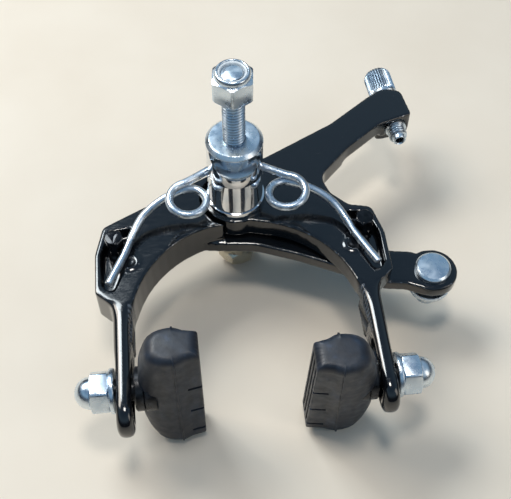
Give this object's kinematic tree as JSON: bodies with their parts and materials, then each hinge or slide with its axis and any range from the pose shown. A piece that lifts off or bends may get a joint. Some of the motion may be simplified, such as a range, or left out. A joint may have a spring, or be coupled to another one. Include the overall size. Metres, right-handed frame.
{
  "type": "side-pull bicycle brake caliper",
  "caption": "Side-pull rim brake caliper: two crossed forged arms on a pivot bolt, looped wire spring, barrel adjuster, cable anchor and sliding brake pads.",
  "frame": {"origin": "centre of the seat washer's rear face, which bears on the fork, on the pivot bolt's axis", "axes": "+Z along the pivot bolt from the arms toward the fork and the mounting nut, -Y from the pivot toward the brake pads, +X toward the barrel adjuster and the cable anchor, with the arms' legs the same distance each side of the YZ plane"},
  "size_m": [0.1053, 0.1155, 0.0774],
  "materials": {
    "zinc": "bright blue-white zinc plate",
    "white_plastic": "smooth nylon",
    "chrome": "polished chrome plate",
    "spring_steel": "plated drawn wire",
    "black_paint": "gloss black paint on forged aluminium",
    "brass": "satin",
    "nickel": "satin nickel plate",
    "black_steel": "satin black",
    "rubber": "matte, lightly scuffed"
  },
  "bodies": {
    "pivot": {"pivot_bolt": "zinc", "mounting_nut": "zinc", "nut_locking_ring": "white_plastic", "seat_washer": "zinc", "radius_washer": "chrome", "spring_block": "chrome", "return_spring": "spring_steel", "arm_washer": "brass", "front_washer": "zinc", "adjusting_nut": "nickel", "lock_nut": "nickel", "front_cap_nut": "nickel"},
    "rear": {"rear_arm": "black_paint", "right_spring_post": "black_steel"},
    "front": {"front_arm": "black_paint", "left_spring_post": "black_steel"},
    "barrel": {"barrel_adjuster": "zinc"},
    "anchor": {"anchor_bolt": "zinc", "anchor_washer": "zinc", "anchor_nut": "zinc"},
    "left_brake_pad": {"left_pad": "rubber", "left_pad_stud": "black_steel", "left_inner_washer": "black_steel", "left_outer_washer": "zinc", "left_cap_nut": "zinc"},
    "right_brake_pad": {"right_pad": "rubber", "right_pad_stud": "black_steel", "right_inner_washer": "black_steel", "right_outer_washer": "zinc", "right_cap_nut": "zinc"}
  },
  "joints": [
    {"name": "rear_arm_pivot", "type": "hinge", "parent": "pivot", "child": "rear", "pos_m": [0, 0, -0.0284], "axis": [0, 0, -1], "range_deg": [0, 10], "stiffness_Nm_per_rad": 0.5, "springref_deg": -34.38, "deforming": ["return_spring"]},
    {"name": "front_arm_pivot", "type": "hinge", "parent": "pivot", "child": "front", "pos_m": [0, 0, -0.0341], "axis": [0, 0, 1], "range_deg": [0, 10], "stiffness_Nm_per_rad": 0.5, "springref_deg": -34.38, "deforming": ["return_spring"]},
    {"name": "barrel_turn", "type": "hinge", "parent": "rear", "child": "barrel", "pos_m": [0.0509, 0.031, -0.02965], "axis": [-0.0802, 0.9968, 0], "continuous": true},
    {"name": "anchor_turn", "type": "hinge", "parent": "front", "child": "anchor", "pos_m": [0.0524, -0.0256, -0.034], "axis": [0, 0, 1], "continuous": true},
    {"name": "left_pad_height", "type": "slide", "parent": "front", "child": "left_brake_pad", "axis": [0, 1, 0], "range_m": [-0.005, 0.0048]},
    {"name": "right_pad_height", "type": "slide", "parent": "rear", "child": "right_brake_pad", "axis": [0, 1, 0], "range_m": [-0.0022, 0.0076]}
  ]
}
